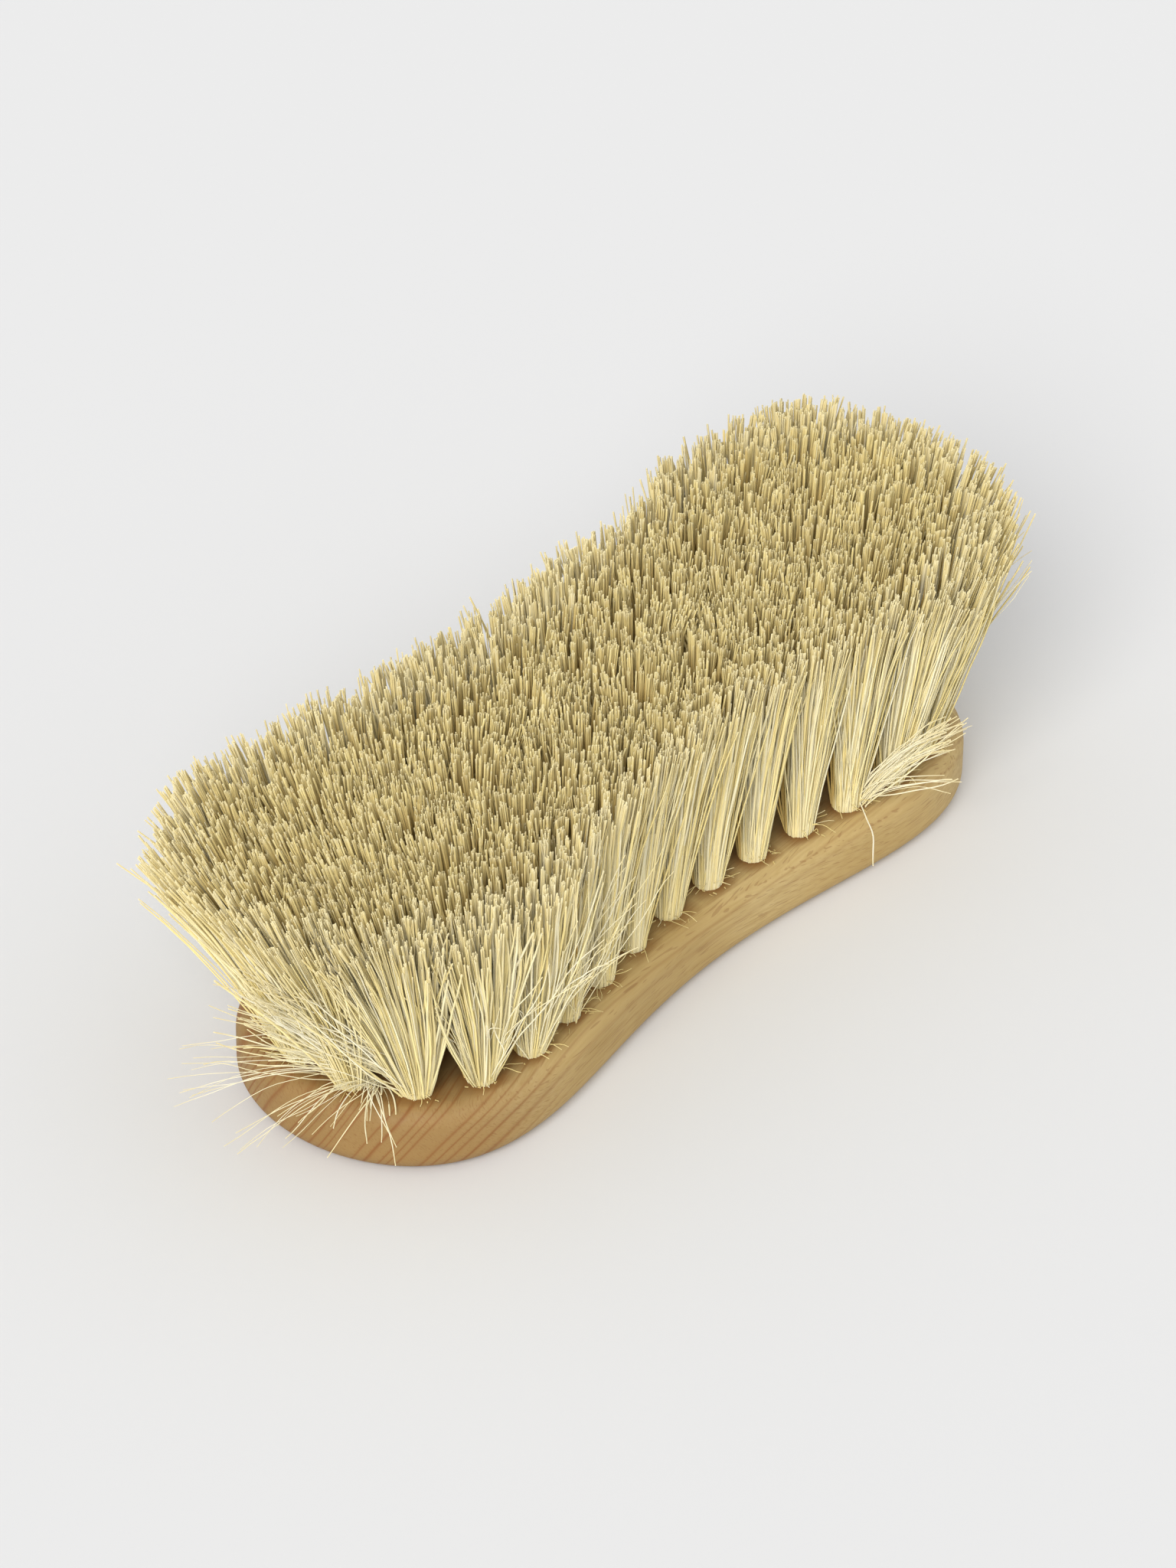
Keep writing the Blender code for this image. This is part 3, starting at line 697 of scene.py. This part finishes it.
def shakenGrid(step, shake, dice):
    x, y = np.meshgrid(np.arange(*carpet["fieldX"], step), np.arange(*carpet["fieldY"], step))
    grid = np.stack([x.ravel(), y.ravel()], 1)
    return grid + dice.uniform(-shake, shake, grid.shape) * step


def insideOutline(place, corners):
    # whether each place is inside the closed outline
    inside = np.zeros(len(place), bool)
    for a, b in zip(corners, np.roll(corners, -1, 0)):
        crosses = (a[1] > place[:, 1]) != (b[1] > place[:, 1])
        where = a[0] + (place[:, 1] - a[1]) / (b[1] - a[1] + 1e-9) * (b[0] - a[0])
        inside ^= crosses & (place[:, 0] < where)
    return inside


def reachUp(owner, root, place, length, dice):
    # the curve of each fibre from its root to its tip above a place, the longer its way aside the lower
    sideways = np.linalg.norm(place - root, axis=1)
    height = np.sqrt(np.maximum(length**2 - sideways**2, tufts["leastHeight"] ** 2))
    lean = tuftTips[owner] - tuftRoots[owner]
    early = (fanEarly[owner] + dice.normal(0, tufts["fanSpread"], len(owner)))[:, None]
    bend = root + (place - root - lean) * early + lean * tufts["leanEarly"]
    return {
        "owner": owner,
        "root": np.column_stack([root, np.full(len(owner), faceHeight - tufts["rootDepth"])]),
        "bend": np.column_stack([bend, faceHeight + height * tufts["bendHeight"]]),
        "tip": keepInside(np.column_stack([place, np.minimum(faceHeight + height, tufts["topHeight"])])),
    }


def fibreLength(place):
    start, end = tufts["farFrom"]
    return tufts["length"] + tufts["farLonger"] * np.clip((place[:, 0] - start) / (end - start), 0, 1)


def toneOf(tone, onSide):
    # the map's u: fibres inside the tufts in its lower half, those on the open sides in its upper half
    return np.clip(tone, 0.01, 0.97) / 2 + np.where(onSide, 0.5, 0.0)


def plantCarpet():
    dice = np.random.default_rng(carpet["seed"])

    # Tips stand on a shaken grid over the whole brush, out to a soft rim round the tufts
    place = shakenGrid(carpet["tipSpacing"], carpet["jitter"], dice)
    away = np.linalg.norm(place[:, None] - centres[None], axis=2)
    level = np.exp(-(away / carpet["rimSoftness"]) ** 2).sum(1)
    kept = level > carpet["rimLevel"] * dice.uniform(*carpet["rimUneven"], len(level))
    kept |= insideOutline(place, tuftTips[outer])
    place, away, level = place[kept], away[kept], level[kept]
    near = np.sort(away, axis=1)[:, :2]
    nearest = (away + dice.normal(0, carpet["blend"], away.shape)).argmin(1)
    owner = centreTuft[nearest]
    count = len(place)

    # Neighbouring tips cling together in small clumps of one height
    clumps = shakenGrid(carpet["clumpSpacing"], carpet["clumpJitter"], dice)
    pull = dice.uniform(*carpet["clumpPull"], len(clumps))
    lift = dice.normal(0, carpet["clumpHeight"], len(clumps))
    lift -= dice.exponential(carpet["clumpDrop"], len(clumps)) * (dice.random(len(clumps)) < carpet["lowClumps"])
    shift = dice.normal(0, carpet["clumpShift"], clumps.shape)
    batches = np.array_split(place, carpet["batches"])
    clump = np.concatenate([np.linalg.norm(part[:, None] - clumps[None], axis=2).argmin(1) for part in batches])
    offset = place - tuftTips[owner]
    place = place + (clumps[clump] - place) * pull[clump][:, None] + shift[clump]

    # The rim is flung outwards a little more, each fibre by its own amount
    width = carpet["rimWidth"]
    rim = np.clip((carpet["rimLevel"] * (1 + width) - level) / (carpet["rimLevel"] * width), 0, 1)
    outward = unit(place - tuftRoots[owner])
    place = place + outward * (rim * dice.exponential(carpet["rimFling"], count))[:, None]
    stray = dice.random(count) < carpet["wanderers"]
    place[stray] += dice.normal(0, carpet["wanderWidth"], (stray.sum(), 2))

    reach = np.linalg.norm(offset, axis=1)
    rootShare = np.clip(reach / carpet["reach"], 0, 1) ** carpet["crowding"]
    rootShare = rootShare * tufts["rootRadius"] / np.maximum(reach, 1e-6)
    footing = offset * rootShare[:, None] + dice.normal(0, carpet["footScatter"], (count, 2))
    long = np.linalg.norm(footing, axis=1)
    footing *= np.minimum(1, tufts["rootRadius"] / np.maximum(long, 1e-6))[:, None]

    # The cut is uneven: broad swells, a dip along the seams between tufts, clumps, and single short fibres
    swells = dice.uniform(carpet["swellFrom"], carpet["swellTo"], (carpet["swells"], 2))
    swellHeights = dice.normal(0, carpet["swellHeight"], len(swells))
    gap = np.linalg.norm(place[:, None] - swells[None], axis=2) / carpet["swellWidth"]
    length = fibreLength(place) + (np.exp(-gap**2) * swellHeights).sum(1)
    length -= carpet["seamDepth"] * np.exp(-(near[:, 1] - near[:, 0]) / carpet["seamWidth"])
    length += lift[clump] + dice.normal(0, carpet["fibreHeight"], count)
    length -= dice.exponential(carpet["shortfall"], count) * (dice.random(count) < carpet["short"])
    length -= rim * np.abs(dice.normal(0, carpet["rimHeight"], count))
    fibres = reachUp(owner, tuftRoots[owner] + footing, place, length, dice)
    fibres["girth"] = np.clip(dice.normal(*carpet["girth"], count), *carpet["girths"])
    # Painted light: tips at the rim get a paler tone, and fibres on the open sides a paler one again
    paintedLightRimTone = carpet["paintedLightRimTone"] * rim
    tone = carpet["tone"] + carpet["toneAlong"] * place[:, 0] + paintedLightRimTone
    tone = tone + dice.normal(0, carpet["clumpTone"], len(clumps))[clump] + dice.normal(0, carpet["fibreTone"], count)
    out = (offset * outwards[owner]).sum(1) + dice.normal(0, carpet["openScatter"], count)
    aside = np.abs(offset[:, 0] * outwards[owner, 1] - offset[:, 1] * outwards[owner, 0])
    farAside, behind = carpet["openAside"]
    onSide = outer[owner] & ((out > carpet["openOut"]) | ((aside > farAside) & (out > behind)))
    fibres["shade"] = toneOf(np.where(onSide, tone + carpet["paintedLightSideTone"] - paintedLightRimTone, tone), onSide)
    fibres["wave"] = clump * carpet["clumpWave"] + dice.uniform(0, carpet["fibreWave"], count)
    return fibres


def hangVeil():
    # finer fibres over the open side of the outer tufts, some of them crossing the others
    dice = np.random.default_rng(veil["seed"])
    own = np.flatnonzero(outer)
    perTuft = [veil["perTuft"] + veil["perCentre"] * ((centreTuft == tuft).sum() - 1) for tuft in own]
    owner = np.repeat(own, perTuft)
    count = len(owner)
    out = outwards[owner]
    side = np.stack([-out[:, 1], out[:, 0]], 1)
    turn = np.radians(dice.uniform(-1, 1, count) * veil["halfTurn"])
    foot = out * np.cos(turn)[:, None] + side * np.sin(turn)[:, None]
    foot = foot * dice.uniform(*veil["foot"], count)[:, None] * tufts["rootRadius"]

    # A tuft with several centres shares its fibres out between them
    centre = np.array([dice.choice(np.flatnonzero(centreTuft == tuft)) for tuft in owner])
    scatter = np.where(dice.random(count) < veil["crossing"], veil["crossScatter"], veil["scatter"])
    forwards = dice.normal(*veil["outwards"], count) * np.cos(turn * veil["narrowing"])
    aside = np.sin(turn) * veil["sideways"] + dice.normal(0, 1, count) * scatter
    place = centres[centre] + out * forwards[:, None] + side * aside[:, None]
    share = dice.uniform(*veil["ends"], count)
    root = tuftRoots[owner] + foot
    place = root + (place - root) * share[:, None]
    fibres = reachUp(owner, root, place, fibreLength(place) * share, dice)
    fibres["girth"] = np.clip(dice.normal(*veil["girth"], count), *veil["girths"])
    fibres["shade"] = toneOf(dice.normal(*veil["tone"], count), True)
    fibres["wave"] = dice.uniform(*waveRange, count)
    return fibres


planted, hung = plantCarpet(), hangVeil()
planted = {key: np.concatenate([planted[key], hung[key]]) for key in planted}
nearEnd, farEnd = tuftRoots[:, 0] < -tufts["endsFrom"], tuftRoots[:, 0] > tufts["endsFrom"]
leftSide = tuftRoots[:, 1] >= 0
waist = ~nearEnd & ~farEnd
groups = {
    "bristles_outer_near_left": outer & nearEnd & leftSide, "bristles_outer_near_right": outer & nearEnd & ~leftSide,
    "bristles_outer_waist_left": outer & waist & leftSide, "bristles_outer_waist_right": outer & waist & ~leftSide,
    "bristles_outer_far_left": outer & farEnd & leftSide, "bristles_outer_far_right": outer & farEnd & ~leftSide,
    "bristles_middle_near": middle & nearEnd, "bristles_middle_waist_left": middle & waist & leftSide,
    "bristles_middle_waist_right": middle & waist & ~leftSide, "bristles_middle_far": middle & farEnd,
    "bristles_core": ~outer & ~middle,
}
for name, chosen in groups.items():
    own = chosen[planted["owner"]]
    picked = {key: value[own] for key, value in planted.items() if key != "owner"}
    steps = carpet["outerSteps"] if "outer" in name else carpet["innerSteps"]
    settings = {"Steps": steps, "Thickness": carpet["thickness"] * mm}
    sweep(name, picked, settings, [tuftNames[i] for i in np.flatnonzero(chosen)])

# Loose fibres that have sprung out of single tufts: foot in mm, how many, heading (0 is +X) and rise in degrees,
# length in mm, how many degrees steeper they start, and girth
fans = (
    ((-92.0, -10.0), 110, (114, 176), (48, 64), (36, 45), 6, 0.72),
    ((-92.0, -10.0), 34, (106, 132), (34, 46), (24, 33), 9, 0.68),
    ((-92.0, -10.2), 44, (112, 162), (24, 48), (22, 37), 14, 0.6),
    ((-88.5, -18.0), 60, (120, 172), (48, 66), (40, 49), 5, 0.72),
    ((-88.0, -19.5), 22, (125, 170), (36, 52), (22, 38), 12, 0.58),
    ((-91.8, -10.5), 9, (112, 136), (27, 40), (26, 35), 16, 0.6),
    ((-91.5, -10.8), 8, (130, 152), (9, 21), (36, 45), 24, 0.5),
    ((-91.3, -11.0), 5, (148, 158), (9, 16), (38, 45), 26, 0.48),
    ((-91.3, -11.0), 11, (160, 186), (4, 13), (28, 43), 27, 0.5),
    ((-91.3, -11.4), 4, (186, 208), (5, 15), (20, 33), 24, 0.48),
    ((-91.0, -11.4), 5, (206, 232), (2, 9), (20, 31), 20, 0.48),
    ((-90.6, -11.6), 4, (222, 246), (0, 7), (7, 13), 8, 0.95),
    ((-91.5, -11.5), 8, (165, 222), (2, 14), (8, 17), 52, 0.5),
    ((-93.5, 8.0), 20, (104, 130), (60, 67), (38, 44), 4, 0.7),
    ((-87.0, 20.0), 10, (98, 130), (60, 67), (42, 47), 3, 0.7),
    ((-76.5, -28.2), 34, (128, 312), (54, 76), (30, 47), 6, 0.55),
    ((-62.3, -30.2), 34, (128, 312), (54, 76), (30, 47), 6, 0.55),
    ((-48.3, -29.0), 20, (128, 312), (62, 78), (30, 47), 5, 0.55),
    ((50.0, -28.8), 42, (281, 298), (44, 58), (27, 34), 11, 0.65),
    ((50.2, -28.8), 8, (272, 294), (28, 42), (24, 30), 14, 0.62),
    ((50.0, -29.6), 1, (221, 222), (6, 7), (28, 29), 14, 0.65),
    ((88.0, -19.5), 4, (268, 325), (60, 68), (46, 51), 3, 0.55),
    ((94.0, -7.5), 3, (285, 325), (55, 62), (47, 50), 3, 0.55),
)
springing = {
    "bendAt": 0.44, "archSpread": 9.0, "turnSpread": 16.0,  # share of the length, degrees
    "overFace": 0.4, "footSpread": (0.7, 0.7, 0.5),  # mm
    "girthSpread": 0.13, "girths": (0.4, 1.3), "tone": (0.82, 0.10), "seed": 5,
    "sweep": {"Steps": 14, "Sides": 4, "Thickness": 0.38 * mm, "Crookedness": 1.9 * mm},
}
frizz = {  # short curled ends and crumbs of fibre round the feet of the outer tufts, mm and degrees
    "perTuft": 7, "halfTurn": 80, "length": (1.5, 6.5), "rise": (-4, 30), "arch": 28, "bendAt": 0.5, "bendTurn": 30,
    "tipTurn": 22, "footReach": 2.7, "footRise": 1.6, "girth": (0.42, 0.06), "tone": (0.4, 0.15),
    "crumbs": 5, "crumbLength": (0.5, 1.2), "crumbReach": (3.1, 5.6), "crumbTurn": 100,
    "crumbGirth": (0.4, 0.9), "crumbTone": (0.1, 0.1), "overFace": 0.15, "seed": 31,
    "sweep": {"Steps": 6, "Sides": 3, "Crookedness": 0.6 * mm, "Crook Length": 4 * mm},
}


def direction(heading, rise):
    heading, rise = np.broadcast_arrays(np.radians(heading), np.radians(rise))
    return np.stack([np.cos(heading) * np.cos(rise), np.sin(heading) * np.cos(rise), np.sin(rise)], 1)


def springFans():
    dice = np.random.default_rng(springing["seed"])
    roots, bends, ends, girths = [], [], [], []
    for foot, count, headings, rises, lengths, archMean, girth in fans:
        heading, rise, length = (dice.uniform(*spread, count) for spread in (headings, rises, lengths))
        start = np.array([*foot, faceHeight + springing["overFace"]])
        start = start + dice.normal(0, springing["footSpread"], (count, 3))
        arch = dice.normal(archMean, springing["archSpread"], count)
        turn = dice.normal(0, springing["turnSpread"], count)
        roots.append(start)
        bends.append(start + direction(heading + turn, rise + arch) * length[:, None] * springing["bendAt"])
        ends.append(keepInside(start + direction(heading, rise) * length[:, None]))
        girths.append(dice.normal(girth, springing["girthSpread"], count))
    count = sum(map(len, roots))
    return {
        "root": np.concatenate(roots), "bend": np.concatenate(bends), "tip": np.concatenate(ends),
        "girth": np.clip(np.concatenate(girths), *springing["girths"]),
        "shade": toneOf(dice.normal(*springing["tone"], count), True), "wave": dice.uniform(*waveRange, count),
    }


def frizzFeet():
    dice = np.random.default_rng(frizz["seed"])
    face = faceHeight + frizz["overFace"]
    own = np.repeat(np.flatnonzero(outer), frizz["perTuft"])
    count = len(own)
    heading = np.degrees(np.arctan2(outwards[own, 1], outwards[own, 0]))
    heading += dice.uniform(-frizz["halfTurn"], frizz["halfTurn"], count)
    rise, length = dice.uniform(*frizz["rise"], count), dice.uniform(*frizz["length"], count)
    flat = direction(heading, 0)
    root = np.column_stack([tuftRoots[own], np.full(count, face)]) + flat * frizz["footReach"]
    root[:, 2] += dice.uniform(0, frizz["footRise"], count)
    bendHeading = heading + dice.normal(0, frizz["bendTurn"], count)
    bend = root + direction(bendHeading, rise + frizz["arch"]) * length[:, None] * frizz["bendAt"]
    tip = root + direction(heading + dice.normal(0, frizz["tipTurn"], count), rise) * length[:, None]

    # Crumbs lie flat on the wood
    crumbOwn = np.repeat(np.flatnonzero(outer), frizz["crumbs"])
    crumbs = len(crumbOwn)
    turn = np.degrees(np.arctan2(outwards[crumbOwn, 1], outwards[crumbOwn, 0]))
    turn = turn + dice.uniform(-frizz["crumbTurn"], frizz["crumbTurn"], crumbs)
    start = np.column_stack([tuftRoots[crumbOwn], np.full(crumbs, face)])
    start += direction(turn, 0) * dice.uniform(*frizz["crumbReach"], crumbs)[:, None]
    lie = direction(dice.uniform(0, 360, crumbs), 0)
    finish = start + lie * dice.uniform(*frizz["crumbLength"], crumbs)[:, None]
    tone = np.concatenate([dice.normal(*frizz["tone"], count), dice.normal(*frizz["crumbTone"], crumbs)])
    girth = np.concatenate([dice.normal(*frizz["girth"], count), dice.uniform(*frizz["crumbGirth"], crumbs)])
    fibres = {
        "root": np.concatenate([root, start]), "bend": np.concatenate([bend, (start + finish) / 2]),
        "tip": np.concatenate([tip, finish]), "girth": girth,
        "shade": toneOf(tone, True), "wave": dice.uniform(*waveRange, count + crumbs),
    }
    fibres["tip"][:, 2] = np.maximum(fibres["tip"][:, 2], face)
    return fibres


sweep("bristles_sprung", springFans(), springing["sweep"])
sweep("bristles_frizz", frizzFeet(), frizz["sweep"])
